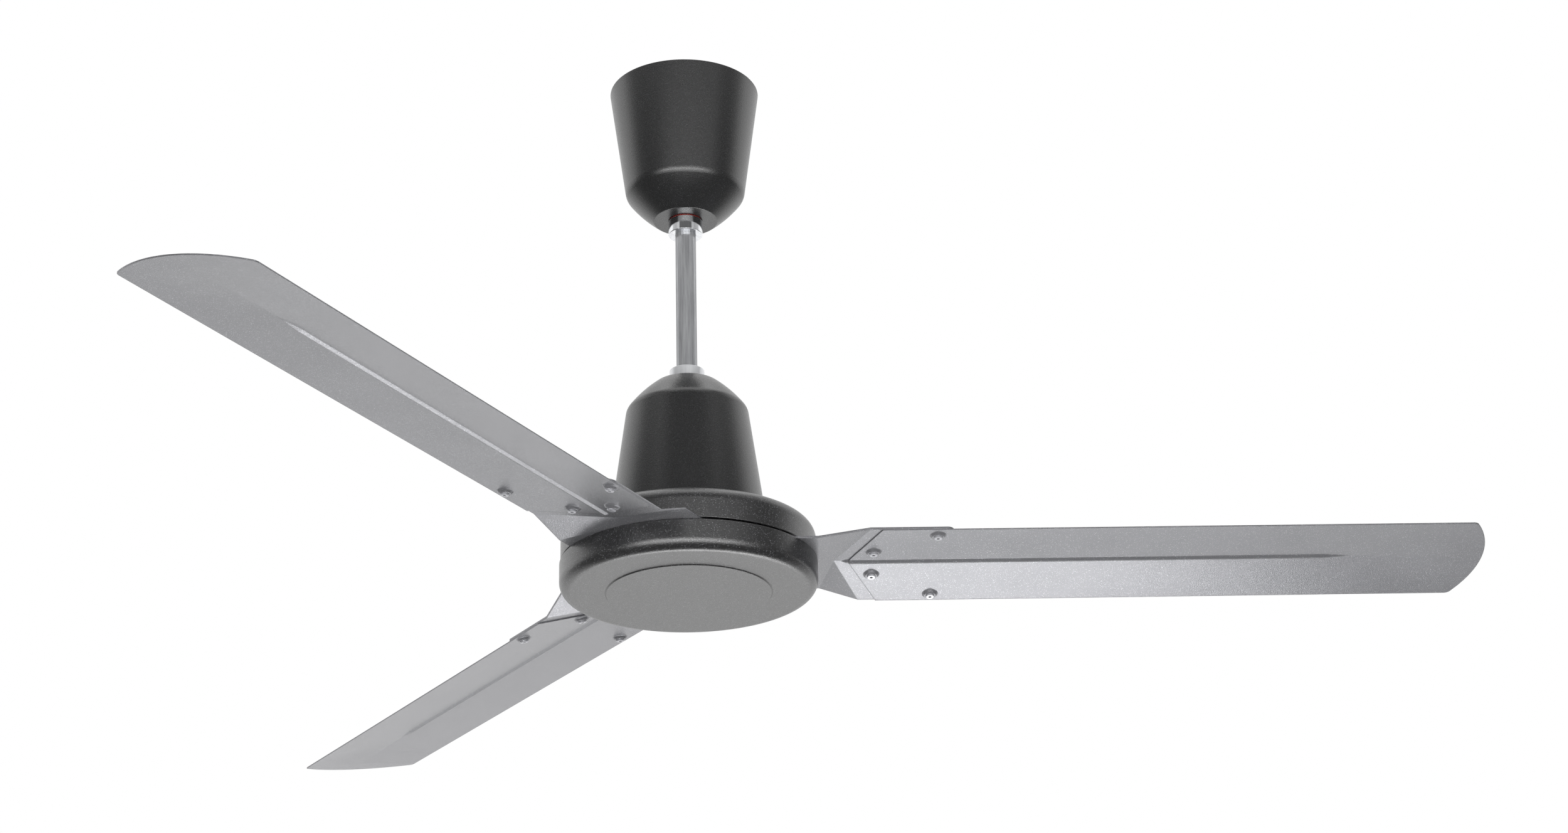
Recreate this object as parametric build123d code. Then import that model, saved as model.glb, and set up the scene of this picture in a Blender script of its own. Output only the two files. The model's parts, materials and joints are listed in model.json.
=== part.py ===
from build123d import *
from math import atan, cos, degrees, radians, sin, sqrt, tan
import os

# A three bladed ceiling fan. Millimetres and degrees, Z up.
# The origin is the middle of the ceiling bracket's top face, and the fan hangs below it.
# Pieces of the hub are drawn with their zero height on the seam between its two shells.

# Heights along the rod
BRACKET_DROP = 52.0
ROD_LENGTH = 353.0
ROD_TO_SEAM = 62.0
CEILING_GAP = 3.1
LOWER_CANOPY_LIFT = 38.2

# Plays that many pieces share
CUT = 1.0
FIT_PLAY = 0.05
BOLT_PLAY = 0.1
BACK_OFF = 0.3

# Blades in plan
BLADE_COUNT = 3
FIRST_BLADE_ANGLE = 0.4
SWEEP = 1400.0
BLADE_WIDTH = 120.0
BLADE_ROOT = 138.0
BLADE_SHOULDER = 165.5
BLADE_ROOT_ROUND = 8.0
TIP_BULGE = 17.5
TIP_ROUND = 6.0

# Blades in section: pitched, folded along the middle, and curved near the tip
BLADE_THICK = 1.0
BLADE_PITCH = 9.7
BLADE_CAMBER = 4.5
TIP_CAMBER = 1.5
EDGE_DROP = 4.0
EDGE_RISE = 1.4
TIP_STATIONS = 5

# Rib pressed along the middle of each blade, which the arm shares
RIB_START = 132.0
RIB_NOSE = 5.0
RIB_END = 583.0
RIB_RUNOUT = 26.0
RIB_WIDTH = 7.0
RIB_DEPTH = 1.8
RIB_TRACE = 0.6

# Folded blade arms
ARM_THICK = 2.0
ARM_END = 227.0
ARM_BEND = 126.0
ARM_BEND_LEADING = 155.0
ARM_BEND_TRAILING = 150.0
ARM_ROOT_WIDTH = 126.0
ARM_ROOT_GAP = 1.0
ARM_FLAT_LEADING = 110.0
ARM_FLAT_TRAILING = 116.0
ARM_ROUND = 6.0

# Rivets of the blades, each on a pressed boss
RIVET_OUTER_RADIUS = 213.5
RIVET_OUTER_OFFSET = 50.1
RIVET_INNER_RADIUS = 159.7
RIVET_INNER_OFFSET = 19.1
RIVET_SHANK = 4.8
RIVET_HEAD = 8.0
RIVET_HEAD_HEIGHT = 1.5
RIVET_TAIL = 7.4
RIVET_TAIL_HEIGHT = 1.2
RIVET_BORE = 2.6
BOSS_FOOT = 14.0
BOSS_FACE = 10.0
BOSS_HEIGHT = 2.3

# Hub housing, two pans with the arms clamped between them
LOWER_SHELL_DIAMETER = 224.0
LOWER_SHELL_HEIGHT = 26.8
LOWER_SHELL_ROUND = 9.4
SHELL_STEP = 1.0
UPPER_SHELL_HEIGHT = 31.1
UPPER_SHELL_ROUND = 12.0
SHELL_WALL = 3.0
FACE_DISC_DIAMETER = 145.2
FACE_DISC_RAISE = 1.0
CROWN_DIAMETER = 62.0
CROWN_RAISE = 3.0
CROWN_HOLE = 21.0
SEAT_WALL = 3.0
SHELL_RIBS = 12
SHELL_RIB_THICK = 2.5
SHELL_RIB_HEIGHT = 12.0
SEAM_ROUND = 0.5

# Housing screws
SCREW_CIRCLE = 196.0
SCREW_SPREAD = 20.0
SCREW_DIAMETER = 5.0
SCREW_HEAD = 9.0
SCREW_HEAD_HEIGHT = 3.2
SCREW_HEAD_ROUND = 1.2
SCREW_LENGTH = 46.0
SCREW_BOSS = 13.0

# Motor shaft
SHAFT_DIAMETER = 15.0
SHAFT_SHOULDER = 19.0
SHAFT_CORE_SEAT = 28.0
SHAFT_BORE = 8.0
SHAFT_IN_ROD = 38.0
SHAFT_FOOT_GAP = 1.5
SHAFT_CHAMFER = 1.0
CABLE_SLOT_WIDTH = 6.5
CABLE_SLOT_LOW = 36.0
CABLE_SLOT_HIGH = 57.0
LEAD_HOLE = 4.0
LEAD_HOLE_RISE = 3.0

# Motor stator and rotor
STATOR_DIAMETER = 135.0
STATOR_HEIGHT = 22.0
STATOR_SLOTS = 24
SLOT_WIDTH = 8.0
SLOT_DEPTH = 20.0
SLOT_MOUTH = 3.0
TOOTH_TIP = 2.5
AIR_GAP = 0.5
WINDING_INSET = 8.5
WINDING_WIDTH = 15.0
WINDING_HEIGHT = 8.0
WINDING_ROUND = 3.0
WINDING_BAR_WIDTH = 6.4
WINDING_BAR_INSET = 1.0
WINDING_BAR_LENGTH = 12.0
ROTOR_RING = 16.0
ROTOR_HEIGHT = 24.0
END_RING_GAP = 1.0
END_RING_WIDTH = 11.0
END_RING_HEIGHT = 5.0

# Ball bearings
BEARING_OUTER = 35.0
BEARING_WIDTH = 11.0
BEARING_RACE = 2.75
BEARING_RELIEF = 1.0
BEARING_POCKET_WALL = 4.0
BALL_COUNT = 8
BALL_DIAMETER = 5.9
BALL_PLAY = 0.05
CAGE_THICK = 1.6
CAGE_HEIGHT = 8.0

# Rod, and the bolt that holds the shaft in it
ROD_DIAMETER = 18.5
ROD_WALL = 1.7
COUPLING_RISE = 14.0
COUPLING_BOLT = 6.0
COUPLING_HEX = 10.0
COUPLING_HEAD = 4.0
COUPLING_NUT = 5.0
COUPLING_TAIL = 7.0

# Split pins
PIN_DIAMETER = 1.6
PIN_REACH = 4.0
PIN_EYE = 5.0

# Canopies, one moulding used twice
CANOPY_RIM_DIAMETER = 137.0
CANOPY_SHOULDER_DIAMETER = 108.3
CANOPY_SHOULDER_HEIGHT = 104.5
CANOPY_SHOULDER_ROUND = 11.0
CANOPY_END_DIAMETER = 57.8
CANOPY_END_ROUND = 1.5
CANOPY_HEIGHT = 130.8
CANOPY_DOME_BULGE = 1.3
CANOPY_WALL = 2.5
CANOPY_RIM_ROUND = 0.6

# Clamping collars on the closed ends of the canopies
COLLAR_DIAMETER = 31.0
COLLAR_HEIGHT = 13.5
COLLAR_CHAMFER = 0.4
COLLAR_BORE = 18.7
COLLAR_SPIGOT = 24.0
COLLAR_NUT_DIAMETER = 34.0
COLLAR_NUT_HEIGHT = 5.0
GASKET_DIAMETER = 29.6
GASKET_THICK = 0.8
SET_SCREW = 4.0
SET_SCREW_ANGLE = 60.0
SET_SCREW_LENGTH = 5.0
SET_SCREW_SOCKET = 2.0

# Ceiling bracket and hanger
BRACKET_LENGTH = 96.0
BRACKET_WIDTH = 34.0
BRACKET_THICK = 3.0
BRACKET_ROUND = 5.0
BRACKET_HOLE = 6.5
BRACKET_HOLE_SPACING = 72.0
LEG_GAP = 34.0
LEG_WIDTH = 30.0
HANGER_BOLT = 8.0
HANGER_HEX = 13.0
HANGER_HEAD = 5.3
HANGER_NUT = 6.5
HANGER_TAIL = 8.0
WASHER_DIAMETER = 17.0
WASHER_THICK = 1.6
SLEEVE_DIAMETER = 12.0
EYE_DIAMETER = 30.0
EYE_LENGTH = 30.0
EYE_WALL = 2.5

# Clips on the rod, with the terminal block and the capacitor
CLIP_HEIGHT = 11.0
CLIP_THICK = 1.5
TERMINAL_DROP = 24.0
TERMINAL_WIDTH = 34.0
TERMINAL_DEPTH = 15.0
TERMINAL_HEIGHT = 14.0
TERMINAL_POLES = 3
TERMINAL_PITCH = 10.5
TERMINAL_SCREW = 4.0
TERMINAL_SCREW_DEPTH = 6.0
TERMINAL_SCREW_LENGTH = 4.5
TERMINAL_WIRE_HOLE = 4.0
CAPACITOR_RISE = 27.5
CAPACITOR_WIDTH = 38.0
CAPACITOR_DEPTH = 20.0
CAPACITOR_HEIGHT = 34.0
CAPACITOR_ROUND = 3.0

# Motor cable, out of the hollow shaft, past the rod's end and up inside the rod
CABLE_DIAMETER = 5.0
CABLE_START = 13.0
CABLE_BEND_OUT = 40.0
CABLE_OFFSET = 15.0
CABLE_OUT_LOW = 60.0
CABLE_OUT_HIGH = 98.0
CABLE_BACK_IN = 126.0
CABLE_LEAVE_DROP = 50.0
CABLE_BEND_DROP = 22.0
CABLE_BEND_SHARE = 0.45
WINDOW_WIDTH = 7.0
WINDOW_HEIGHT = 22.0
WINDOW_LOWER = 99.0
WINDOW_UPPER_DROP = 48.0

# Values worked out from the ones above
Z_BOLT = -BRACKET_DROP
Z_SEAM = Z_BOLT - ROD_LENGTH - ROD_TO_SEAM
Z_UPPER_RIM = -CEILING_GAP
Z_LOWER_RIM = Z_SEAM + LOWER_CANOPY_LIFT
BLADE_ANGLES = [FIRST_BLADE_ANGLE + 360 / BLADE_COUNT * i for i in range(BLADE_COUNT)]
SCREW_ANGLES = [angle + side * SCREW_SPREAD for angle in BLADE_ANGLES for side in (-1, 1)]
BLADE_TIP = SWEEP / 2
BLADE_HALF = BLADE_WIDTH / 2
ARM_HALF_THICK = ARM_THICK / 2
UPPER_SHELL_DIAMETER = LOWER_SHELL_DIAMETER - 2 * SHELL_STEP
ROTOR_RADIUS = STATOR_DIAMETER / 2 + AIR_GAP + ROTOR_RING
BEARING_RADIUS = BEARING_OUTER / 2
BALL_CIRCLE_RADIUS = (SHAFT_DIAMETER + BEARING_OUTER) / 4
ROD_RADIUS = ROD_DIAMETER / 2
ROD_BORE_RADIUS = ROD_RADIUS - ROD_WALL
LOWER_FLOOR = -LOWER_SHELL_HEIGHT + SHELL_WALL
UPPER_CEILING = UPPER_SHELL_HEIGHT - SHELL_WALL
CLIP_INNER = ROD_RADIUS + FIT_PLAY
CLIP_FACE = CLIP_INNER + CLIP_THICK * 5 / 3


def disc(radius, low, high):
    """A solid cylinder on the Z axis between two heights."""
    return Pos(0, 0, (low + high) / 2) * Cylinder(radius, high - low)


def tube(inner, outer, low, high):
    """A ring on the Z axis between two heights."""
    return disc(outer, low, high) - disc(inner, low - CUT, high + CUT)


def turned(points):
    """A solid of revolution from the corners of its half section, given as radius and height."""
    return revolve(Face(Wire.make_polygon([(r, 0, z) for r, z in points], close=True)), Axis.Z)


def box_between(low, high):
    """A box from its lowest corner to its highest."""
    size = [h - l for l, h in zip(low, high)]
    centre = [(h + l) / 2 for l, h in zip(low, high)]
    return Pos(*centre) * Box(*size)


def around(shape, angles):
    """Copies of a shape turned about the Z axis."""
    return [Rot(0, 0, angle) * shape for angle in angles]


def along_x(shape):
    """A shape drawn along Z, laid along X."""
    return Rot(0, 90, 0) * shape


def hexagon(across, thickness):
    """A hexagonal head or nut standing on the XY plane, given its size over the flats."""
    return extrude(RegularPolygon(across / sqrt(3), 6), thickness)


# Blades

def under_height(x, y, camber=BLADE_CAMBER, roundness=0.0):
    """Underside of the blade at a point: pitched, and folded or curved across its width."""
    share = abs(y) / BLADE_HALF
    edge = -EDGE_DROP + EDGE_RISE * (x - ARM_BEND) / (BLADE_TIP - ARM_BEND)
    folded = (1 - roundness) * (1 - share)
    curved = roundness * (1 - share * share)
    return edge + camber * (folded + curved) - tan(radians(BLADE_PITCH)) * y


def facet_angle(side):
    """Slope in degrees of the leading (side -1) or trailing (side 1) facet across the blade."""
    return degrees(atan(-tan(radians(BLADE_PITCH)) - side * BLADE_CAMBER / BLADE_HALF))


def blade_station(x, camber, roundness, half_rib, rib_depth):
    """One cross section of the blade at a radius, as a closed face."""
    def point(y, lift):
        return (x, y, under_height(x, y, camber, roundness) + lift)

    def flank(start, end, lift):
        middle = (start + end) / 2
        rise = 2 * point(middle, lift)[2] - (point(start, lift)[2] + point(end, lift)[2]) / 2
        return Bezier(point(start, lift), (x, middle, rise), point(end, lift))

    rim = []
    for lift, hand in ((0.0, -1), (BLADE_THICK, 1)):
        outer = hand * BLADE_HALF
        inner = hand * half_rib
        rim.append(flank(outer, inner, lift))
        rim.append(Line(point(inner, lift), point(0.0, lift - rib_depth)))
        rim.append(Line(point(0.0, lift - rib_depth), point(-inner, lift)))
        rim.append(flank(-inner, -outer, lift))
        rim.append(Line(point(-outer, lift), point(-outer, BLADE_THICK - lift)))
    return Face(Wire(rim))


def blade_stations():
    """The blade's cross sections from its root to its tip."""
    half_rib = RIB_WIDTH / 2
    stations = []
    for x in (BLADE_ROOT - CUT, RIB_END - RIB_RUNOUT):
        stations.append(blade_station(x, BLADE_CAMBER, 0.0, half_rib, RIB_DEPTH))
    for i in range(TIP_STATIONS + 1):
        share = i / TIP_STATIONS
        ease = share * share * (3 - 2 * share)
        x = RIB_END + (BLADE_TIP + CUT - RIB_END) * share
        camber = BLADE_CAMBER + (TIP_CAMBER - BLADE_CAMBER) * ease
        stations.append(blade_station(x, camber, min(1.0, ease * 2), RIB_TRACE, 0.0))
    return stations


def blade_outline():
    """Plan of a blade: pointed root, straight edges and a bowed tip."""
    tip = BLADE_TIP - TIP_BULGE
    root = (BLADE_ROOT, 0)
    shoulders = [(BLADE_SHOULDER, -BLADE_HALF), (BLADE_SHOULDER, BLADE_HALF)]
    corners = [(tip, -BLADE_HALF), (tip, BLADE_HALF)]
    face = make_face([
        Line(root, shoulders[0]),
        Line(shoulders[0], corners[0]),
        ThreePointArc(corners[0], (BLADE_TIP, 0), corners[1]),
        Line(corners[1], shoulders[1]),
        Line(shoulders[1], root),
    ])
    face = fillet(face.vertices().group_by(Axis.X)[-1], TIP_ROUND)
    return fillet(face.vertices().group_by(Axis.X)[0], BLADE_ROOT_ROUND)


def rivet_seats():
    """Where the rivets of one blade stand on its underside, with the slope of their facet."""
    seats = []
    for side in (-1, 1):
        slope = facet_angle(side)
        for x, offset in ((RIVET_OUTER_RADIUS, RIVET_OUTER_OFFSET), (RIVET_INNER_RADIUS, RIVET_INNER_OFFSET)):
            y = side * offset
            seats.append((Location((x, y, under_height(x, y)), (slope, 0, 0)), slope))
    return seats


def rivet_holes():
    """Drills through the blade and its arm at every rivet."""
    drill = Cylinder(RIVET_SHANK / 2 + BOLT_PLAY, 4 * (BOSS_HEIGHT + ARM_THICK))
    return [place * drill for place, slope in rivet_seats()]


def make_blade():
    """A pressed blade along +X, with its fold, rib, bowed tip and rivet bosses."""
    sheet = loft(blade_stations(), ruled=True)
    sheet = sheet & Pos(0, 0, -BLADE_HALF) * extrude(blade_outline(), BLADE_WIDTH)
    boss = turned([
        (0, -BOSS_HEIGHT),
        (BOSS_FACE / 2, -BOSS_HEIGHT),
        (BOSS_FOOT / 2, 0),
        (BOSS_FOOT / 2, BLADE_THICK / 2),
        (0, BLADE_THICK / 2),
    ])
    for place, slope in rivet_seats():
        sheet = sheet + place * boss
    return sheet - rivet_holes()


def make_rivets():
    """The four hollow rivets of one blade, headed under the boss and spread on the arm."""
    rivets = []
    for place, slope in rivet_seats():
        grip = (BLADE_THICK + ARM_THICK) * cos(radians(slope)) + FIT_PLAY
        low = -BOSS_HEIGHT - RIVET_HEAD_HEIGHT
        rivet = turned([
            (RIVET_BORE / 2, low),
            (RIVET_HEAD / 2 - RIVET_HEAD_HEIGHT / 2, low),
            (RIVET_HEAD / 2, low + RIVET_HEAD_HEIGHT / 2),
            (RIVET_HEAD / 2, -BOSS_HEIGHT),
            (RIVET_SHANK / 2, -BOSS_HEIGHT),
            (RIVET_SHANK / 2, grip),
            (RIVET_TAIL / 2, grip),
            (RIVET_SHANK / 2, grip + RIVET_TAIL_HEIGHT),
            (0, grip + RIVET_TAIL_HEIGHT),
            (0, 0),
            (RIVET_BORE / 2, 0),
        ])
        rivets.append(place * rivet)
    return rivets


# Arms

def sheet_cell(points):
    """One flat cell of a folded arm, from the corners of its underside."""
    return extrude(Face(Wire.make_polygon(points, close=True)), ARM_THICK, dir=(0, 0, 1))


def seat_point(x, y, dip=0.0):
    """A point on the arm's underside where it lies on the blade."""
    return (x, y, under_height(x, y) + BLADE_THICK - dip)


def root_point(x, y):
    """A point on the underside of the arm's level root, between the shells."""
    return (x, y, -ARM_HALF_THICK)


def make_arm():
    """A folded arm along +X: level root, fold triangles and the pitched seat of the blade."""
    half_rib = RIB_WIDTH / 2
    half_root = ARM_ROOT_WIDTH / 2
    rib_full = RIB_START + RIB_NOSE
    apex = seat_point(ARM_BEND, 0)
    nose = seat_point(RIB_START, 0)
    floor_in = seat_point(rib_full, 0, RIB_DEPTH)
    floor_out = seat_point(ARM_END, 0, RIB_DEPTH)
    lead = root_point(ARM_FLAT_LEADING, -half_root)
    trail = root_point(ARM_FLAT_TRAILING, half_root)
    cells = [
        sheet_cell([root_point(0, -half_root), lead, trail, root_point(0, half_root)]),
        sheet_cell([lead, apex, trail]),
    ]
    for side, bend, flat in ((-1, ARM_BEND_LEADING, lead), (1, ARM_BEND_TRAILING, trail)):
        fold = seat_point(bend, side * BLADE_HALF)
        corner = seat_point(ARM_END, side * BLADE_HALF)
        lip_in = seat_point(rib_full, side * half_rib)
        lip_out = seat_point(ARM_END, side * half_rib)
        cells.append(sheet_cell([flat, apex, fold]))
        cells.append(sheet_cell([apex, nose, lip_in, lip_out, corner, fold]))
        cells.append(sheet_cell([nose, lip_in, floor_in]))
        cells.append(sheet_cell([floor_in, lip_in, lip_out, floor_out]))
    arm = cells[0] + cells[1:]
    outer = arm.edges().filter_by(Axis.Z).group_by(Axis.X)[-1]
    arm = fillet(outer.sort_by(Axis.Y)[::len(outer) - 1], ARM_ROUND)
    arm = arm - disc(ROTOR_RADIUS + ARM_ROOT_GAP, -BLADE_WIDTH, BLADE_WIDTH)
    screw = Pos(SCREW_CIRCLE / 2, 0, 0) * disc(SCREW_DIAMETER / 2 + BOLT_PLAY, -ARM_THICK, ARM_THICK)
    return arm - rivet_holes() - around(screw, (-SCREW_SPREAD, SCREW_SPREAD))


# Hub housing

def pan_block(radius, height, corner, top):
    """A round block below the seam with a rounded lower corner."""
    block = disc(radius, -height, top)
    return fillet(block.edges().group_by(Axis.Z)[0], corner)


def make_pan(radius, height, corner):
    """A shell of the hub below the seam, with its seats, ribs and screw bosses."""
    low = -height + SHELL_WALL
    sunk = low - SHELL_WALL / 2
    top = -ARM_HALF_THICK
    block = pan_block(radius, height, corner, top)
    block = fillet(block.edges().group_by(Axis.Z)[-1], SEAM_ROUND)
    pan = block - pan_block(radius - SHELL_WALL, height - SHELL_WALL, corner - SHELL_WALL, CUT)
    pan = pan + tube(ROTOR_RADIUS, ROTOR_RADIUS + SEAT_WALL, sunk, top)
    pan = pan + tube(ROTOR_RADIUS - SEAT_WALL, ROTOR_RADIUS, sunk, -ROTOR_HEIGHT / 2)
    pocket = tube(BEARING_RADIUS + FIT_PLAY, BEARING_RADIUS + BEARING_POCKET_WALL, sunk, low + BEARING_WIDTH)
    pan = pan + pocket
    rib = block & box_between(
        (ROTOR_RADIUS + SEAT_WALL / 2, -SHELL_RIB_THICK / 2, sunk),
        (radius - SHELL_WALL / 2, SHELL_RIB_THICK / 2, low + SHELL_RIB_HEIGHT),
    )
    pan = pan + around(rib, [FIRST_BLADE_ANGLE + 360 / SHELL_RIBS * i for i in range(SHELL_RIBS)])
    boss = Pos(SCREW_CIRCLE / 2, 0, 0) * disc(SCREW_BOSS / 2, sunk, top)
    return pan + around(boss, SCREW_ANGLES)


def race_relief(low, high):
    """A shallow turned recess that keeps the fixed inner race off the turning shell."""
    return disc(BEARING_RADIUS - BEARING_RACE, low, high)


def make_lower_shell():
    """The lower pan of the hub, with the raised disc on its face."""
    pan = make_pan(LOWER_SHELL_DIAMETER / 2, LOWER_SHELL_HEIGHT, LOWER_SHELL_ROUND)
    radius = FACE_DISC_DIAMETER / 2
    pan = pan + turned([
        (0, -LOWER_SHELL_HEIGHT - FACE_DISC_RAISE),
        (radius - FACE_DISC_RAISE, -LOWER_SHELL_HEIGHT - FACE_DISC_RAISE),
        (radius, -LOWER_SHELL_HEIGHT),
        (radius, -LOWER_SHELL_HEIGHT + FACE_DISC_RAISE),
        (0, -LOWER_SHELL_HEIGHT + FACE_DISC_RAISE),
    ])
    pan = pan - race_relief(LOWER_FLOOR - BEARING_RELIEF, LOWER_FLOOR)
    reach = UPPER_SHELL_HEIGHT - SCREW_HEAD_HEIGHT - SCREW_LENGTH - CUT
    hole = Pos(SCREW_CIRCLE / 2, 0, 0) * disc(SCREW_DIAMETER / 2 + FIT_PLAY, reach, CUT)
    return pan - around(hole, SCREW_ANGLES)


def make_upper_shell():
    """The upper pan of the hub, turned over, with the crown round the shaft and screw recesses."""
    pan = make_pan(UPPER_SHELL_DIAMETER / 2, UPPER_SHELL_HEIGHT, UPPER_SHELL_ROUND)
    pan = mirror(pan, Plane.XY)
    top = UPPER_SHELL_HEIGHT + CROWN_RAISE
    pan = pan + turned([
        (0, UPPER_SHELL_HEIGHT - SHELL_WALL / 2),
        (CROWN_DIAMETER / 2, UPPER_SHELL_HEIGHT - SHELL_WALL / 2),
        (CROWN_DIAMETER / 2, UPPER_SHELL_HEIGHT),
        (CROWN_DIAMETER / 2 - CROWN_RAISE, top),
        (0, top),
    ])
    pan = pan - disc(CROWN_HOLE / 2, 0, top + CUT)
    pan = pan - race_relief(UPPER_CEILING, UPPER_CEILING + BEARING_RELIEF)
    seat = UPPER_SHELL_HEIGHT - SCREW_HEAD_HEIGHT
    hole = disc(SCREW_DIAMETER / 2 + BOLT_PLAY, 0, top) + disc(SCREW_HEAD / 2 + BACK_OFF, seat, top)
    return pan - around(Pos(SCREW_CIRCLE / 2, 0, 0) * hole, SCREW_ANGLES)


def make_housing_screws():
    """Pan head screws, sunk in the upper shell and driven into the lower one."""
    seat = UPPER_SHELL_HEIGHT - SCREW_HEAD_HEIGHT
    head = disc(SCREW_HEAD / 2, seat, UPPER_SHELL_HEIGHT - BACK_OFF)
    head = fillet(head.edges().group_by(Axis.Z)[-1], SCREW_HEAD_ROUND)
    screw = head + disc(SCREW_DIAMETER / 2, seat - SCREW_LENGTH, seat)
    return around(Pos(SCREW_CIRCLE / 2, 0, 0) * screw, SCREW_ANGLES)


# Motor

def coupling_drill():
    """The cross hole of the coupling bolt."""
    drill = Cylinder(COUPLING_BOLT / 2 + BOLT_PLAY, 2 * ROD_DIAMETER)
    return Pos(0, 0, ROD_TO_SEAM + COUPLING_RISE) * along_x(drill)


def make_shaft():
    """The fixed hollow shaft: bearing seats, core seat, and a stub that enters the rod."""
    seat = SHAFT_DIAMETER / 2
    shoulder = SHAFT_SHOULDER / 2
    core = SHAFT_CORE_SEAT / 2
    half_core = STATOR_HEIGHT / 2
    foot = LOWER_FLOOR + SHAFT_FOOT_GAP
    top = ROD_TO_SEAM + SHAFT_IN_ROD
    shaft = turned([
        (0, foot),
        (seat - SHAFT_CHAMFER, foot),
        (seat, foot + SHAFT_CHAMFER),
        (seat, LOWER_FLOOR + BEARING_WIDTH),
        (shoulder, LOWER_FLOOR + BEARING_WIDTH),
        (shoulder, -half_core),
        (core, -half_core),
        (core, half_core),
        (shoulder, half_core),
        (shoulder, UPPER_CEILING - BEARING_WIDTH),
        (seat, UPPER_CEILING - BEARING_WIDTH),
        (seat, top - SHAFT_CHAMFER),
        (seat - SHAFT_CHAMFER, top),
        (0, top),
    ])
    shaft = shaft - disc(SHAFT_BORE / 2, half_core, CABLE_SLOT_HIGH)
    slot = box_between(
        (-CABLE_SLOT_WIDTH / 2, 0, CABLE_SLOT_LOW),
        (CABLE_SLOT_WIDTH / 2, SHAFT_DIAMETER, CABLE_SLOT_HIGH),
    )
    lead_hole = Rot(90, 0, 0) * Cylinder(LEAD_HOLE / 2, SHAFT_SHOULDER + CUT)
    lead_hole = Pos(0, 0, half_core + LEAD_HOLE_RISE) * lead_hole
    return shaft - slot - lead_hole - coupling_drill()


def slot_angles():
    """Directions of the stator's slots."""
    return [360 / STATOR_SLOTS * i for i in range(STATOR_SLOTS)]


def make_stator_core():
    """The slotted lamination stack, pressed on the shaft."""
    outer = STATOR_DIAMETER / 2
    half = STATOR_HEIGHT / 2
    core = tube(SHAFT_CORE_SEAT / 2 + FIT_PLAY, outer, -half, half)
    slot = box_between(
        (outer - TOOTH_TIP - SLOT_DEPTH, -SLOT_WIDTH / 2, -half - CUT),
        (outer - TOOTH_TIP, SLOT_WIDTH / 2, half + CUT),
    )
    mouth = box_between(
        (outer - TOOTH_TIP - CUT, -SLOT_MOUTH / 2, -half - CUT),
        (outer + CUT, SLOT_MOUTH / 2, half + CUT),
    )
    return core - around(slot + mouth, slot_angles())


def make_stator_winding():
    """The end turns over and under the core, joined by the coil sides in its slots."""
    half = STATOR_HEIGHT / 2
    outer = STATOR_DIAMETER / 2 - WINDING_INSET
    bar_end = outer - WINDING_BAR_INSET
    ring = tube(outer - WINDING_WIDTH, outer, half, half + WINDING_HEIGHT)
    ring = fillet(ring.edges().group_by(Axis.Z)[-1], WINDING_ROUND)
    bar = box_between(
        (bar_end - WINDING_BAR_LENGTH, -WINDING_BAR_WIDTH / 2, -half - CUT),
        (bar_end, WINDING_BAR_WIDTH / 2, half + CUT),
    )
    return ring + mirror(ring, Plane.XY) + around(bar, slot_angles())


def make_rotor_core():
    """The laminated ring that turns round the stator."""
    half = ROTOR_HEIGHT / 2
    return tube(STATOR_DIAMETER / 2 + AIR_GAP, ROTOR_RADIUS - FIT_PLAY, -half, half)


def make_rotor_end_rings():
    """The cast rings that join the rotor bars over and under the core."""
    inner = STATOR_DIAMETER / 2 + AIR_GAP + END_RING_GAP
    half = ROTOR_HEIGHT / 2
    ring = tube(inner, inner + END_RING_WIDTH, half, half + END_RING_HEIGHT)
    return [ring, mirror(ring, Plane.XY)]


def make_bearing(low):
    """Inner race, outer race, balls and cage of one bearing, above a height."""
    middle = low + BEARING_WIDTH / 2
    high = low + BEARING_WIDTH
    seat = SHAFT_DIAMETER / 2
    groove = Pos(0, 0, middle) * Torus(BALL_CIRCLE_RADIUS, BALL_DIAMETER / 2 + BALL_PLAY)
    inner = tube(seat + FIT_PLAY, seat + BEARING_RACE, low, high) - groove
    outer = tube(BEARING_RADIUS - BEARING_RACE, BEARING_RADIUS, low, high) - groove
    spread = [360 / BALL_COUNT * i for i in range(BALL_COUNT)]
    centre = Pos(BALL_CIRCLE_RADIUS, 0, middle)
    balls = around(centre * Sphere(BALL_DIAMETER / 2), spread)
    cage = tube(
        BALL_CIRCLE_RADIUS - CAGE_THICK / 2,
        BALL_CIRCLE_RADIUS + CAGE_THICK / 2,
        middle - CAGE_HEIGHT / 2,
        middle + CAGE_HEIGHT / 2,
    )
    pocket = along_x(Cylinder(BALL_DIAMETER / 2 + BOLT_PLAY, 2 * CAGE_THICK))
    cage = cage - around(centre * pocket, spread)
    return inner, outer, balls, cage


# Bolts, nuts and split pins, all along X

def cross_bolt(diameter, across, head, grip, tail):
    """A bolt along +X from under its head, with a cross hole for a split pin in its tail."""
    shank = disc(diameter / 2, 0, grip + tail)
    shank = chamfer(shank.edges().group_by(Axis.Z)[-1], PIN_DIAMETER / 2)
    bolt = along_x(shank + Pos(0, 0, -head) * hexagon(across, head))
    return bolt - Pos(grip + tail / 2, 0, 0) * Cylinder(PIN_DIAMETER / 2 + BOLT_PLAY, 2 * diameter)


def cross_nut(diameter, across, height):
    """A hexagon nut along +X."""
    return along_x(hexagon(across, height) - disc(diameter / 2 + FIT_PLAY, -CUT, height + CUT))


def split_pin(diameter):
    """A split pin down through a bolt of a given diameter."""
    top = diameter / 2 + PIN_DIAMETER
    shank = disc(PIN_DIAMETER / 2, -diameter / 2 - PIN_REACH, top)
    eye = Rot(90, 0, 0) * Torus(PIN_EYE / 2, PIN_DIAMETER / 2)
    return shank + Pos(0, 0, top + PIN_EYE / 2 - PIN_DIAMETER / 4) * eye


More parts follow.
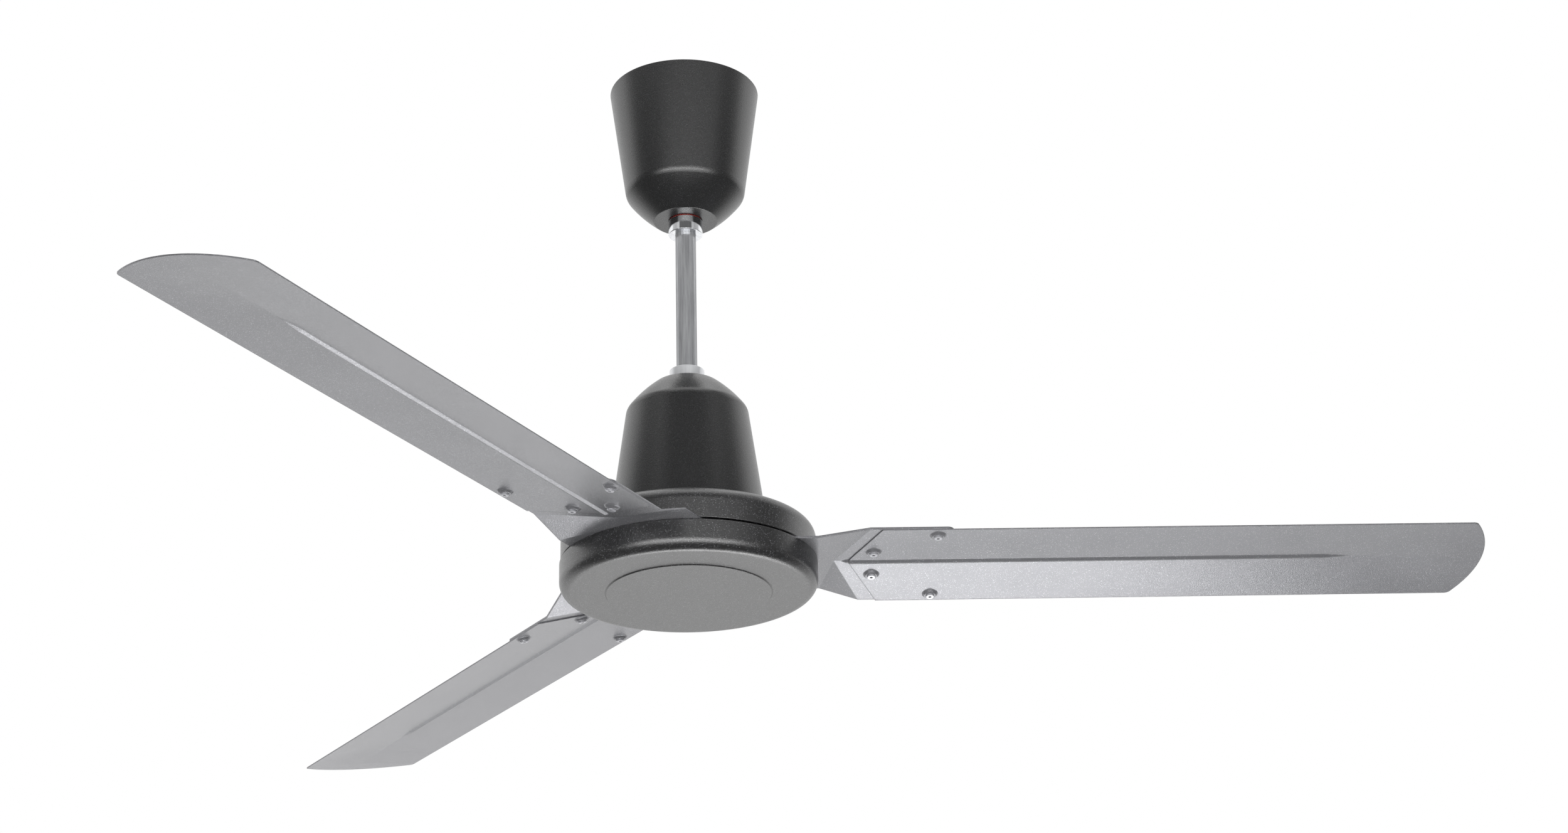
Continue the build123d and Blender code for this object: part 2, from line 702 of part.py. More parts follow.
def make_coupling():
    """Bolt, nut and split pin that hold the shaft in the rod."""
    place = Pos(-ROD_RADIUS, 0, ROD_TO_SEAM + COUPLING_RISE)
    grip = ROD_DIAMETER + COUPLING_NUT
    bolt = cross_bolt(COUPLING_BOLT, COUPLING_HEX, COUPLING_HEAD, grip, COUPLING_TAIL)
    nut = Pos(ROD_DIAMETER, 0, 0) * cross_nut(COUPLING_BOLT, COUPLING_HEX, COUPLING_NUT)
    pin = Pos(grip + COUPLING_TAIL / 2, 0, 0) * split_pin(COUPLING_BOLT)
    return place * bolt, place * nut, place * pin


# Rod and what is clipped to it

def make_downrod():
    """The tube with the welded cross tube of the hanger, its cross hole and its cable windows."""
    rod = tube(ROD_BORE_RADIUS, ROD_RADIUS, ROD_TO_SEAM, Z_BOLT - Z_SEAM)
    eye = Pos(0, 0, Z_BOLT - Z_SEAM) * along_x(Cylinder(EYE_DIAMETER / 2, EYE_LENGTH))
    hole = Pos(0, 0, Z_BOLT - Z_SEAM) * along_x(Cylinder(EYE_DIAMETER / 2 - EYE_WALL, EYE_LENGTH + CUT))
    rod = rod + eye - hole - coupling_drill()
    for low in (WINDOW_LOWER, terminal_middle() - WINDOW_UPPER_DROP):
        rod = rod - box_between(
            (-WINDOW_WIDTH / 2, 0, low),
            (WINDOW_WIDTH / 2, ROD_DIAMETER, low + WINDOW_HEIGHT),
        )
    return rod


def rod_clip(side, width, height):
    """A ring round the rod with a flat plate on its +Y (side 1) or -Y (side -1) face."""
    ring = tube(CLIP_INNER, CLIP_INNER + CLIP_THICK, -CLIP_HEIGHT / 2, CLIP_HEIGHT / 2)
    plate = Pos(0, side * (CLIP_FACE - CLIP_THICK / 2), 0) * Box(width, CLIP_THICK, height)
    return ring + plate


def terminal_middle():
    """Height of the middle of the terminal block over the seam."""
    return Z_BOLT - TERMINAL_DROP - Z_SEAM


def make_terminal():
    """Clip, block and screws of the supply terminals."""
    place = Pos(0, 0, terminal_middle())
    depth = CLIP_FACE + TERMINAL_DEPTH
    block = box_between(
        (-TERMINAL_WIDTH / 2, CLIP_FACE, -TERMINAL_HEIGHT / 2),
        (TERMINAL_WIDTH / 2, depth, TERMINAL_HEIGHT / 2),
    )
    screws = []
    for i in range(TERMINAL_POLES):
        x = TERMINAL_PITCH * (i - (TERMINAL_POLES - 1) / 2)
        sunk = TERMINAL_SCREW_DEPTH - depth
        hole = Rot(90, 0, 0) * disc(TERMINAL_SCREW / 2 + BOLT_PLAY, -depth - CUT, sunk)
        screw = disc(TERMINAL_SCREW / 2, sunk - TERMINAL_SCREW_LENGTH, sunk)
        wire = disc(TERMINAL_WIRE_HOLE / 2, 0, TERMINAL_HEIGHT)
        block = block - Pos(x, 0, 0) * hole - Pos(x, CLIP_FACE + TERMINAL_DEPTH / 2, 0) * wire
        screws.append(place * Pos(x, 0, 0) * Rot(90, 0, 0) * screw)
    clip = rod_clip(1, TERMINAL_WIDTH, CLIP_HEIGHT)
    return place * clip, place * block, screws


def make_capacitor():
    """Clip and case of the running capacitor."""
    place = Pos(0, 0, ROD_TO_SEAM + CAPACITOR_RISE)
    case = box_between(
        (-CAPACITOR_WIDTH / 2, -CLIP_FACE - CAPACITOR_DEPTH, -CAPACITOR_HEIGHT / 2),
        (CAPACITOR_WIDTH / 2, -CLIP_FACE, CAPACITOR_HEIGHT / 2),
    )
    case = fillet(case.edges().filter_by(Axis.Z), CAPACITOR_ROUND)
    clip = rod_clip(-1, CAPACITOR_WIDTH - 2 * CAPACITOR_ROUND, CLIP_HEIGHT)
    return place * clip, place * case


def make_motor_cable():
    """The round cable from the shaft's bore, past the rod's end and up inside it to the terminals."""
    leave = CLIP_FACE + TERMINAL_DEPTH / 2
    route = [
        (0, CABLE_START),
        (0, CABLE_BEND_OUT),
        (CABLE_OFFSET, CABLE_OUT_LOW),
        (CABLE_OFFSET, CABLE_OUT_HIGH),
        (0, CABLE_BACK_IN),
        (0, terminal_middle() - CABLE_LEAVE_DROP),
        (leave, terminal_middle() - CABLE_BEND_DROP),
        (leave, terminal_middle() - TERMINAL_HEIGHT / 2),
    ]
    points = [Vector(0, y, z) for y, z in route]
    bends = []
    for before, corner, after in zip(points, points[1:], points[2:]):
        shorter = min((corner - before).length, (after - corner).length)
        half_turn = (corner - before).get_angle(after - corner) / 2
        bends.append(CABLE_BEND_SHARE * shorter / tan(radians(half_turn)))
    print("motor cable, bend radii in mm:", [round(bend, 1) for bend in bends])
    path = FilletPolyline(*points, radius=bends)
    return sweep(Plane(path @ 0, z_dir=path % 0) * Circle(CABLE_DIAMETER / 2), path)


# Canopies and their collars, drawn with the rim at zero and the closed end up

def canopy_outline():
    """Outside of a canopy as a half section that runs past its rim and past its axis."""
    rim = CANOPY_RIM_DIAMETER / 2
    shoulder = CANOPY_SHOULDER_DIAMETER / 2
    end = CANOPY_END_DIAMETER / 2
    taper = (rim - shoulder) / CANOPY_SHOULDER_HEIGHT
    below = CANOPY_WALL * 2
    chord = Vector(end - shoulder, CANOPY_HEIGHT - CANOPY_SHOULDER_HEIGHT)
    middle = Vector(shoulder, CANOPY_SHOULDER_HEIGHT) + chord * 0.5
    outward = Vector(chord.Y, -chord.X).normalized()
    bulge = middle + outward * CANOPY_DOME_BULGE
    face = make_face([
        Line((-below, -below), (rim + taper * below, -below)),
        Line((rim + taper * below, -below), (shoulder, CANOPY_SHOULDER_HEIGHT)),
        ThreePointArc((shoulder, CANOPY_SHOULDER_HEIGHT), (bulge.X, bulge.Y), (end, CANOPY_HEIGHT)),
        Line((end, CANOPY_HEIGHT), (-below, CANOPY_HEIGHT)),
        Line((-below, CANOPY_HEIGHT), (-below, -below)),
    ])
    shoulders = face.vertices().sort_by_distance((shoulder, CANOPY_SHOULDER_HEIGHT))[0]
    face = fillet(shoulders, CANOPY_SHOULDER_ROUND)
    ends = face.vertices().sort_by_distance((end, CANOPY_HEIGHT))[0]
    return fillet(ends, CANOPY_END_ROUND)


def make_canopy():
    """A moulded canopy: tapered wall, domed shoulder and flat end with the collar's hole."""
    outline = canopy_outline()
    hole = COLLAR_SPIGOT / 2 + BOLT_PLAY
    keep = Pos(hole, 0) * Rectangle(CANOPY_RIM_DIAMETER, CANOPY_HEIGHT, align=(Align.MIN, Align.MIN))
    section = (outline - offset(outline, -CANOPY_WALL)) & keep
    section = fillet(section.vertices().group_by(Axis.Y)[0], CANOPY_RIM_ROUND)
    return revolve(Plane.XZ * section, Axis.Z)


def make_collar():
    """The collar: a chamfered ring beyond the canopy's end and a spigot down through it."""
    foot = CANOPY_HEIGHT + GASKET_THICK
    top = foot + COLLAR_HEIGHT
    collar = tube(COLLAR_BORE / 2, COLLAR_DIAMETER / 2, foot, top)
    rim = collar.edges().group_by(Axis.Z)[-1].sort_by(SortBy.RADIUS)[-1]
    collar = chamfer(rim, COLLAR_CHAMFER)
    spigot_low = CANOPY_HEIGHT - CANOPY_WALL - COLLAR_NUT_HEIGHT
    collar = collar + tube(COLLAR_BORE / 2, COLLAR_SPIGOT / 2, spigot_low, foot)
    return collar - set_screw_place() * disc(SET_SCREW / 2 + FIT_PLAY, 0, COLLAR_DIAMETER)


def set_screw_place():
    """Frame of the set screw: its axis points out of the collar."""
    height = CANOPY_HEIGHT + GASKET_THICK + (COLLAR_HEIGHT - COLLAR_CHAMFER) / 2
    return Pos(0, 0, height) * Rot(0, 90, 0)


def make_set_screw():
    """A socket set screw in the collar, drawn backed off the rod so that the canopy can slide."""
    start = ROD_RADIUS + BACK_OFF
    screw = disc(SET_SCREW / 2, start, start + SET_SCREW_LENGTH)
    socket = Pos(0, 0, start + SET_SCREW_LENGTH - SET_SCREW_SOCKET) * hexagon(SET_SCREW / 2, SET_SCREW)
    return set_screw_place() * (screw - socket)


def make_gasket():
    """The thin rubber ring between the canopy's end and the collar."""
    low = CANOPY_HEIGHT
    return tube(COLLAR_SPIGOT / 2 + FIT_PLAY, GASKET_DIAMETER / 2, low, low + GASKET_THICK)


def make_collar_nut():
    """The round nut inside the canopy that pulls the collar against its end."""
    high = CANOPY_HEIGHT - CANOPY_WALL
    return tube(COLLAR_SPIGOT / 2 + FIT_PLAY, COLLAR_NUT_DIAMETER / 2, high - COLLAR_NUT_HEIGHT, high)


def make_cover(prefix, turn, place):
    """One canopy with its collar pieces, by node name; turn keeps the set screw's direction."""
    pieces = {
        "canopy": make_canopy(),
        "gasket": make_gasket(),
        "collar": make_collar(),
        "collar_nut": make_collar_nut(),
        "set_screw": make_set_screw(),
    }
    return {prefix + name: place * Rot(0, 0, turn) * piece for name, piece in pieces.items()}


# Ceiling bracket and hanger

def make_bracket():
    """The ceiling plate with two legs that carry the hanger bolt."""
    plate = Pos(0, 0, -BRACKET_THICK / 2) * Box(BRACKET_LENGTH, BRACKET_WIDTH, BRACKET_THICK)
    plate = fillet(plate.edges().filter_by(Axis.Z), BRACKET_ROUND)
    drill = disc(BRACKET_HOLE / 2, -BRACKET_THICK - CUT, CUT)
    leg = Pos(0, 0, Z_BOLT / 2) * Box(BRACKET_THICK, LEG_WIDTH, -Z_BOLT)
    leg = leg + Pos(0, 0, Z_BOLT) * along_x(Cylinder(LEG_WIDTH / 2, BRACKET_THICK))
    leg = leg - Pos(0, 0, Z_BOLT) * along_x(Cylinder(HANGER_BOLT / 2 + BOLT_PLAY, 2 * BRACKET_THICK))
    for side in (-1, 1):
        plate = plate + Pos(side * (LEG_GAP + BRACKET_THICK) / 2, 0, 0) * leg
        plate = plate - Pos(side * BRACKET_HOLE_SPACING / 2, 0, 0) * drill
    return plate


def make_hanger():
    """Bolt, washers, nut, split pin, sleeve and rubber bush of the hanger, by node name."""
    legs = LEG_GAP + 2 * BRACKET_THICK
    grip = legs + 2 * WASHER_THICK + HANGER_NUT
    seat = Pos(-legs / 2 - WASHER_THICK, 0, Z_BOLT)
    middle = Pos(0, 0, Z_BOLT)
    bolt_radius = HANGER_BOLT / 2
    sleeve_radius = SLEEVE_DIAMETER / 2
    washer = tube(bolt_radius + FIT_PLAY, WASHER_DIAMETER / 2, 0, WASHER_THICK)
    sleeve = tube(bolt_radius + BOLT_PLAY, sleeve_radius, -LEG_GAP / 2, LEG_GAP / 2)
    eye_radius = EYE_DIAMETER / 2 - EYE_WALL
    bush = tube(sleeve_radius + FIT_PLAY, eye_radius - FIT_PLAY, -EYE_LENGTH / 2, EYE_LENGTH / 2)
    return {
        "hanger_bolt": seat * cross_bolt(HANGER_BOLT, HANGER_HEX, HANGER_HEAD, grip, HANGER_TAIL),
        "hanger_washers": [seat * along_x(washer), seat * Pos(legs + WASHER_THICK, 0, 0) * along_x(washer)],
        "hanger_nut": seat * Pos(grip - HANGER_NUT, 0, 0) * cross_nut(HANGER_BOLT, HANGER_HEX, HANGER_NUT),
        "hanger_split_pin": seat * Pos(grip + HANGER_TAIL / 2, 0, 0) * split_pin(HANGER_BOLT),
        "hanger_sleeve": middle * along_x(sleeve),
        "hanger_bush": middle * along_x(bush),
    }


def make_hub_nodes():
    """Everything drawn from the seam, by node name."""
    nodes = {
        "upper_shell": make_upper_shell(),
        "lower_shell": make_lower_shell(),
        "housing_screws": make_housing_screws(),
        "motor_shaft": make_shaft(),
        "stator_core": make_stator_core(),
        "stator_winding": make_stator_winding(),
        "rotor_core": make_rotor_core(),
        "rotor_end_rings": make_rotor_end_rings(),
        "downrod": make_downrod(),
        "motor_cable": make_motor_cable(),
    }
    for prefix, low in (("upper_bearing_", UPPER_CEILING - BEARING_WIDTH), ("lower_bearing_", LOWER_FLOOR)):
        inner, outer, balls, cage = make_bearing(low)
        nodes[prefix + "inner"] = inner
        nodes[prefix + "outer"] = outer
        nodes[prefix + "balls"] = balls
        nodes[prefix + "cage"] = cage
    bolt, nut, pin = make_coupling()
    nodes["coupling_bolt"] = bolt
    nodes["coupling_nut"] = nut
    nodes["coupling_split_pin"] = pin
    clip, block, screws = make_terminal()
    nodes["terminal_clip"] = clip
    nodes["terminal_block"] = block
    nodes["terminal_screws"] = screws
    clip, case = make_capacitor()
    nodes["capacitor_clip"] = clip
    nodes["capacitor"] = case
    blade = make_blade()
    arm = make_arm()
    rivets = []
    for i, angle in enumerate(BLADE_ANGLES):
        nodes["blade_" + str(i + 1)] = Rot(0, 0, angle) * blade
        nodes["arm_" + str(i + 1)] = Rot(0, 0, angle) * arm
        rivets = rivets + [Rot(0, 0, angle) * rivet for rivet in make_rivets()]
    nodes["blade_rivets"] = rivets
    return nodes


def placed(shape, place):
    """A piece, or a group of like pieces as one compound, moved to its place."""
    if isinstance(shape, list):
        return Compound([solid for piece in shape for solid in (place * piece).solids()])
    return place * shape


def make_nodes():
    """Every piece of the fan in its place, by node name."""
    nodes = {"ceiling_bracket": make_bracket()}
    nodes.update(make_hanger())
    upper_place = Pos(0, 0, Z_UPPER_RIM) * Rot(180, 0, 0)
    nodes.update(make_cover("upper_", -SET_SCREW_ANGLE, upper_place))
    nodes.update(make_cover("lower_", SET_SCREW_ANGLE, Pos(0, 0, Z_LOWER_RIM)))
    nodes = {name: placed(shape, Pos(0, 0, 0)) for name, shape in nodes.items()}
    for name, shape in make_hub_nodes().items():
        nodes[name] = placed(shape, Pos(0, 0, Z_SEAM))
    return nodes


os.makedirs("parts", exist_ok=True)
for name, shape in make_nodes().items():
    export_step(shape, "parts/" + name + ".step")
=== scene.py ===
import json
import math

import bpy
from mathutils import Matrix, Vector

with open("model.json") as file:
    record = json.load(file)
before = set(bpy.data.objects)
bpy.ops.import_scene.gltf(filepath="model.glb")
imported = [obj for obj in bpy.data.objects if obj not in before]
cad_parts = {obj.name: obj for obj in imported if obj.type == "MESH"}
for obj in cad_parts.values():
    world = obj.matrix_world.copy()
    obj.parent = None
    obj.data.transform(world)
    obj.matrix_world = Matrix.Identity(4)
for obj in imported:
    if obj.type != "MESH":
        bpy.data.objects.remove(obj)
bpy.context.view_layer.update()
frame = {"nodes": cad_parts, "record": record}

# The look of a ceiling fan around its CAD frame. Metres, Z up, the ceiling at zero height.

NODES = frame["nodes"]

# Camera, as fitted to the photograph
PHOTO_WIDTH = 2500
FOCAL_PIXELS = 4651.12
CENTRE_COLUMN = 1383.4
CAMERA_PLACE = Vector((0.0, -2.38277, -1.35125))
CAMERA_PITCH = 0.404353
CAMERA_YAW = 0.067146
CAMERA_ROLL = -0.036248
CAMERA_REACH = 100
SENSOR_WIDTH = 36.0

# Floor
FLOOR_HEIGHT = -2.3
FLOOR_SIZE = 40.0
FLOOR_GREY = 0.86
FLOOR_DARKER = 0.97
FLOOR_CLOUDS = 3
FLOOR_ROUGHNESS = 0.9

# Room: its brightness in front of the fan and behind it, and the headings between which it changes
ROOM_FRONT = 0.12
ROOM_BACK = 0.97
ROOM_TURN = (-0.1, 0.5)
FLOOR_TURN = (0.35, 0.85)

# Soft lamps, all aimed at the fan's middle: name, place, width, height, power in watts
FAN_MIDDLE = Vector((0.0, 0.0, -0.4))
LAMPS = [
    ("key", (0.0, -3.0, -1.28), 7.0, 1.9, 74),
    ("strip", (0.0, -2.9, -0.70), 4.5, 0.12, 15),
    ("fill", (0.5, -3.0, 0.25), 6.6, 1.4, 12),
    ("left", (-0.8, -0.2, 0.41), 1.2, 0.3, 0.5),
    ("right", (0.8, -0.2, 0.41), 1.2, 0.3, 0.4),
    ("top", (0.0, -0.3, 2.6), 3.0, 3.0, 28),
    ("under", (0.21, 1.2, -2.25), 1.3, 1.0, 19),
]

# Rounding that edges show, wider on the pressed sheets
EDGE_SOFTNESS = 0.0005
SHEET_SOFTNESS = 0.0014
EDGE_SAMPLES = 4

# Paint: slow changes of tone, a pebbled skin and bright flakes, in turns per metre
TONE_PER_METRE = 25
GRAIN_PER_METRE = 1000
GRAIN_ROUGHNESS = 0.6
SHINE_PER_METRE = 700
SHINE_SPREAD = 0.05
FLAKES_PER_METRE = 2400
FLAKE_RARITY = 0.94
FLAKE_SHARE = 0.5
PAINT_CAST = (0.98, 0.985, 1.04)

# Zinc plate: streaks drawn out along Z, in turns per metre
STREAKS_PER_METRE = 500
STREAK_ROUGHNESS = 0.6
STREAK_DRAW = 0.06
STREAK_SPAN = (0.35, 0.65)
STREAK_RELIEF = 0.00003
DULL_PER_METRE = 260
ZINC_DARK_CAST = (1.0, 1.01, 1.04)
ZINC_PALE_CAST = (1.06, 1.08, 1.1)

# Other finishes
LAMINATION = 0.0005
COPPER_DARK = (0.42, 0.15, 0.05, 1)
COPPER_PALE = (0.62, 0.28, 0.10, 1)
BRASS_DARK = (0.55, 0.39, 0.14, 1)
BRASS_PALE = (0.70, 0.53, 0.24, 1)
RED_PALE = (0.62, 0.05, 0.03, 1)
RED_DARK = (0.45, 0.03, 0.02, 1)

# Pieces that look brighter than the rest of their slot: the collars get lighter copies of the zinc
# plate, as painted highlight
NODE_LOOKS = {"upper_collar": "upper_collar_painted_highlight", "lower_collar": "lower_collar_painted_highlight"}


# Camera

def make_camera():
    """The photograph's camera: level turn, tilt up and a slight roll."""
    turn, tilt, roll = CAMERA_YAW, CAMERA_PITCH, CAMERA_ROLL
    ahead = Vector((math.sin(turn) * math.cos(tilt), math.cos(turn) * math.cos(tilt), math.sin(tilt)))
    level = Vector((math.cos(turn), -math.sin(turn), 0))
    above = level.cross(ahead)
    right = level * math.cos(roll) + above * math.sin(roll)
    up = above * math.cos(roll) - level * math.sin(roll)
    facing = Matrix((right, up, -ahead)).transposed().to_4x4()
    data = bpy.data.cameras.new("camera")
    data.sensor_width = SENSOR_WIDTH
    data.lens = FOCAL_PIXELS * SENSOR_WIDTH / PHOTO_WIDTH
    data.shift_x = (PHOTO_WIDTH / 2 - CENTRE_COLUMN) / PHOTO_WIDTH
    data.clip_end = CAMERA_REACH
    camera = bpy.data.objects.new("camera", data)
    camera.matrix_world = Matrix.Translation(CAMERA_PLACE) @ facing
    bpy.context.scene.collection.objects.link(camera)
    bpy.context.scene.camera = camera


# Node helpers

def tinted(level, cast):
    """A grey with a faint cast: its level times a share for red, green and blue."""
    return (*(level * share for share in cast), 1)


def grey(level):
    """A neutral colour."""
    return (level, level, level, 1)


class Shader:
    """A material under construction: its node tree and its main shader."""

    def __init__(self, name, colour, roughness, metallic=0.0):
        self.material = bpy.data.materials.new(name)
        self.material.use_nodes = True
        self.tree = self.material.node_tree
        self.main = self.tree.nodes["Principled BSDF"]
        self.set("Base Color", colour)
        self.set("Roughness", roughness)
        self.set("Metallic", metallic)
        self.place = self.tree.nodes.new("ShaderNodeTexCoord").outputs["Object"]

    def feed(self, socket, value):
        """Links an output to a socket, or sets the socket's value."""
        if isinstance(value, bpy.types.NodeSocket):
            self.tree.links.new(value, socket)
        else:
            socket.default_value = value

    def set(self, name, value):
        """Sets or links one of the main shader's sockets."""
        self.feed(self.main.inputs[name], value)

    def node(self, kind, **inputs):
        """A new node with some of its sockets set or linked."""
        made = self.tree.nodes.new(kind)
        for name, value in inputs.items():
            self.feed(made.inputs[name.replace("_", " ")], value)
        return made

    def worked_out(self, kind, operation, *terms):
        """A number or vector worked out from others by a math node."""
        made = self.tree.nodes.new(kind)
        made.operation = operation
        for socket, term in zip(made.inputs, terms):
            self.feed(socket, term)
        return made.outputs[0]

    def stretched(self, x, y, z):
        """Object coordinates scaled along each axis."""
        return self.node("ShaderNodeMapping", Vector=self.place, Scale=(x, y, z)).outputs["Vector"]

    def noise(self, scale, detail=2.0, roughness=0.5, place=None):
        """Noise at a scale in turns per metre."""
        made = self.node("ShaderNodeTexNoise", Vector=place or self.place, Scale=scale, Detail=detail)
        self.feed(made.inputs["Roughness"], roughness)
        return made.outputs["Fac"]

    def cells(self, scale):
        """A random grey for each small cell."""
        made = self.node("ShaderNodeTexVoronoi", Vector=self.place, Scale=scale)
        return self.node("ShaderNodeSeparateColor", Color=made.outputs["Color"]).outputs["Red"]

    def span(self, value, low, high, start=0.0, end=1.0):
        """A value between start and end, carried over to low and high."""
        made = self.node("ShaderNodeMapRange", Value=value)
        for name, level in (("From Min", start), ("From Max", end), ("To Min", low), ("To Max", high)):
            self.feed(made.inputs[name], level)
        return made.outputs["Result"]

    def mix(self, share, first, second):
        """A mix of two colours."""
        made = self.tree.nodes.new("ShaderNodeMix")
        made.data_type = "RGBA"
        self.feed(made.inputs[0], share)
        self.feed(made.inputs[6], first)
        self.feed(made.inputs[7], second)
        return made.outputs[2]

    def bump(self, height, distance, strength=1.0, softness=EDGE_SOFTNESS):
        """Relief from a height in turns of a distance in metres, over softened edges."""
        soft = self.node("ShaderNodeBevel", Radius=softness)
        soft.samples = EDGE_SAMPLES
        made = self.node("ShaderNodeBump", Height=height, Distance=distance, Strength=strength)
        self.feed(made.inputs["Normal"], soft.outputs["Normal"])
        self.set("Normal", made.outputs["Normal"])


# Materials

def coat(name, dark, light, flake, roughness, relief, softness):
    """A pebbled coat of paint with slow tone changes and small bright flakes."""
    dark, light, flake = (tinted(level, PAINT_CAST) for level in (dark, light, flake))
    paint = Shader(name, dark, roughness)
    tone = paint.mix(paint.noise(TONE_PER_METRE, 3), dark, light)
    flakes = paint.span(paint.cells(FLAKES_PER_METRE), 0.0, 1.0, FLAKE_RARITY, 1.0)
    shine = paint.noise(SHINE_PER_METRE)
    paint.set("Base Color", paint.mix(flakes, tone, flake))
    paint.set("Roughness", paint.span(shine, roughness - SHINE_SPREAD, roughness + SHINE_SPREAD))
    paint.bump(paint.noise(GRAIN_PER_METRE, 3, GRAIN_ROUGHNESS), relief, 1.0, softness)
    return paint


def powder_coat(name, dark, light, flake, roughness, relief, ior):
    """Graphite powder coat: a glossy dark skin."""
    paint = coat(name, dark, light, flake, roughness, relief, EDGE_SOFTNESS)
    paint.set("IOR", ior)
    return paint.material


def flake_paint(name, dark, light, flake, roughness, relief, softness):
    """Silver paint: half of it metal flakes."""
    paint = coat(name, dark, light, flake, roughness, relief, softness)
    paint.set("Metallic", FLAKE_SHARE)
    return paint.material


def plated_steel(name, level, roughness, streak=0.2, metallic=1.0, edge=1.0):
    """Zinc plate: metal with drawn streaks along Z and an uneven shine, dimmer at the edge if asked."""
    dark = tinted(level, [share - streak for share in ZINC_DARK_CAST])
    pale = tinted(level, ZINC_PALE_CAST)
    steel = Shader(name, pale, roughness, metallic)
    drawn = steel.stretched(1.0, 1.0, STREAK_DRAW)
    streaks = steel.noise(STREAKS_PER_METRE, 4, STREAK_ROUGHNESS, drawn)
    dull = steel.noise(DULL_PER_METRE, 3, 0.5, drawn)
    steel.set("Base Color", steel.mix(steel.span(streaks, 0.0, 1.0, *STREAK_SPAN), dark, pale))
    steel.set("Specular Tint", grey(edge))
    steel.set("Roughness", steel.span(dull, roughness - 0.06, roughness + 0.08))
    steel.bump(streaks, STREAK_RELIEF, 0.3)
    return steel.material


def rubber(name, colour, darker):
    """Matt rubber with a little bloom."""
    made = Shader(name, colour, 0.75)
    made.set("Base Color", made.mix(made.noise(120, 4), colour, darker))
    made.set("Roughness", made.span(made.noise(400), 0.65, 0.85))
    made.bump(made.noise(1500), 0.00008, 0.4)
    return made.material


def plastic(name, colour, darker, roughness):
    """Moulded plastic with a fine grain."""
    made = Shader(name, colour, roughness)
    made.set("Base Color", made.mix(made.noise(60, 3), colour, darker))
    made.set("Roughness", made.span(made.noise(700), roughness - 0.05, roughness + 0.08))
    made.bump(made.noise(2200), 0.00004, 0.3)
    return made.material


def laminated(name, level):
    """A stack of thin steel sheets, seen as fine lines across its height."""
    made = Shader(name, grey(level), 0.5, 1.0)
    height = made.node("ShaderNodeSeparateXYZ", Vector=made.place).outputs["Z"]
    turns = made.worked_out("ShaderNodeMath", "MULTIPLY", height, 2 * math.pi / LAMINATION)
    sheets = made.worked_out("ShaderNodeMath", "SINE", turns)
    made.set("Base Color", made.mix(made.noise(200), grey(level * 0.8), grey(level * 1.15)))
    made.bump(sheets, 0.00004, 0.6)
    return made.material


def wound_copper(name):
    """Enamelled winding wire under varnish."""
    made = Shader(name, COPPER_DARK, 0.35, 0.8)
    made.set("Base Color", made.mix(made.noise(500, 3), COPPER_DARK, COPPER_PALE))
    made.set("Coat Weight", 0.5)
    made.bump(made.noise(1800, 2), 0.0002, 0.7)
    return made.material


def brass(name):
    """Turned brass."""
    made = Shader(name, BRASS_DARK, 0.3, 1.0)
    made.set("Base Color", made.mix(made.noise(300, 3), BRASS_DARK, BRASS_PALE))
    made.set("Roughness", made.span(made.noise(900), 0.24, 0.4))
    return made.material


def make_materials():
    """Every material, by the record's slot or by a name of NODE_LOOKS."""
    ground = plated_steel("ground_steel", 0.6, 0.2)
    silver = flake_paint(
        "silver_paint", dark=0.235, light=0.275, flake=0.6, roughness=0.21, relief=0.00015,
        softness=SHEET_SOFTNESS,
    )
    return {
        "zinc_steel": plated_steel("zinc_steel", 0.6, 0.3),
        "bright_rod": plated_steel("tube_zinc", 0.60, 0.22, streak=0.24, metallic=0.6, edge=0.15),
        # Lighter copies of the zinc plate for the two collars, as painted highlight
        "upper_collar_painted_highlight": plated_steel("collar_zinc", 0.92, 0.1, streak=0.15),
        "lower_collar_painted_highlight": plated_steel("lower_collar_zinc_painted_highlight", 0.92, 0.2, streak=0.1, metallic=0.45),
        "ground_steel": ground,
        "bearing_steel": ground,
        "cage_brass": brass("cage_brass"),
        "brass_screws": brass("screw_brass"),
        "laminated_steel": laminated("laminated_steel", 0.34),
        "copper_winding": wound_copper("copper_winding"),
        "cast_aluminium": plated_steel("cast_aluminium", 0.66, 0.45),
        "graphite_shell": powder_coat(
            "graphite_shell_paint", dark=0.009, light=0.011, flake=0.30, roughness=0.29, relief=0.00015,
            ior=2.15,
        ),
        "graphite_canopy": powder_coat(
            "graphite_canopy_skin", dark=0.009, light=0.011, flake=0.07, roughness=0.28, relief=0.00012,
            ior=1.95,
        ),
        "silver_blade": silver,
        "silver_arm": silver,
        # The rivet heads get a lighter copy of the silver paint, as painted highlight
        "rivet_steel": flake_paint(
            "rivet_paint_painted_highlight", dark=0.45, light=0.55, flake=0.8, roughness=0.22, relief=0.00005,
            softness=EDGE_SOFTNESS,
        ),
        "red_rubber": rubber("red_rubber", RED_PALE, RED_DARK),
        "black_rubber": rubber("black_rubber", grey(0.02), grey(0.04)),
        "white_plastic": plastic("white_plastic", grey(0.78), grey(0.68), 0.4),
        "dark_plastic": plastic("dark_plastic", grey(0.03), grey(0.05), 0.4),
        "grey_sheath": plastic("grey_sheath", grey(0.62), grey(0.5), 0.5),
    }


def dress_nodes(materials):
    """Gives every CAD node the material of its slot, or its own look."""
    for part in frame["record"]["subparts"]:
        look = NODE_LOOKS.get(part["node"], part["material_slot"])
        piece = NODES[part["node"]]
        piece.data.materials.clear()
        piece.data.materials.append(materials[look])


# Stage and light

def plain_white(tree):
    """A share of 1 for camera, glossy and transmission rays, which see the floor as plain white."""
    path = tree.nodes.new("ShaderNodeLightPath")
    share = path.outputs["Is Camera Ray"]
    for name in ("Is Glossy Ray", "Is Transmission Ray"):
        largest = tree.nodes.new("ShaderNodeMath")
        largest.operation = "MAXIMUM"
        tree.links.new(share, largest.inputs[0])
        tree.links.new(path.outputs[name], largest.inputs[1])
        share = largest.outputs["Value"]
    return share


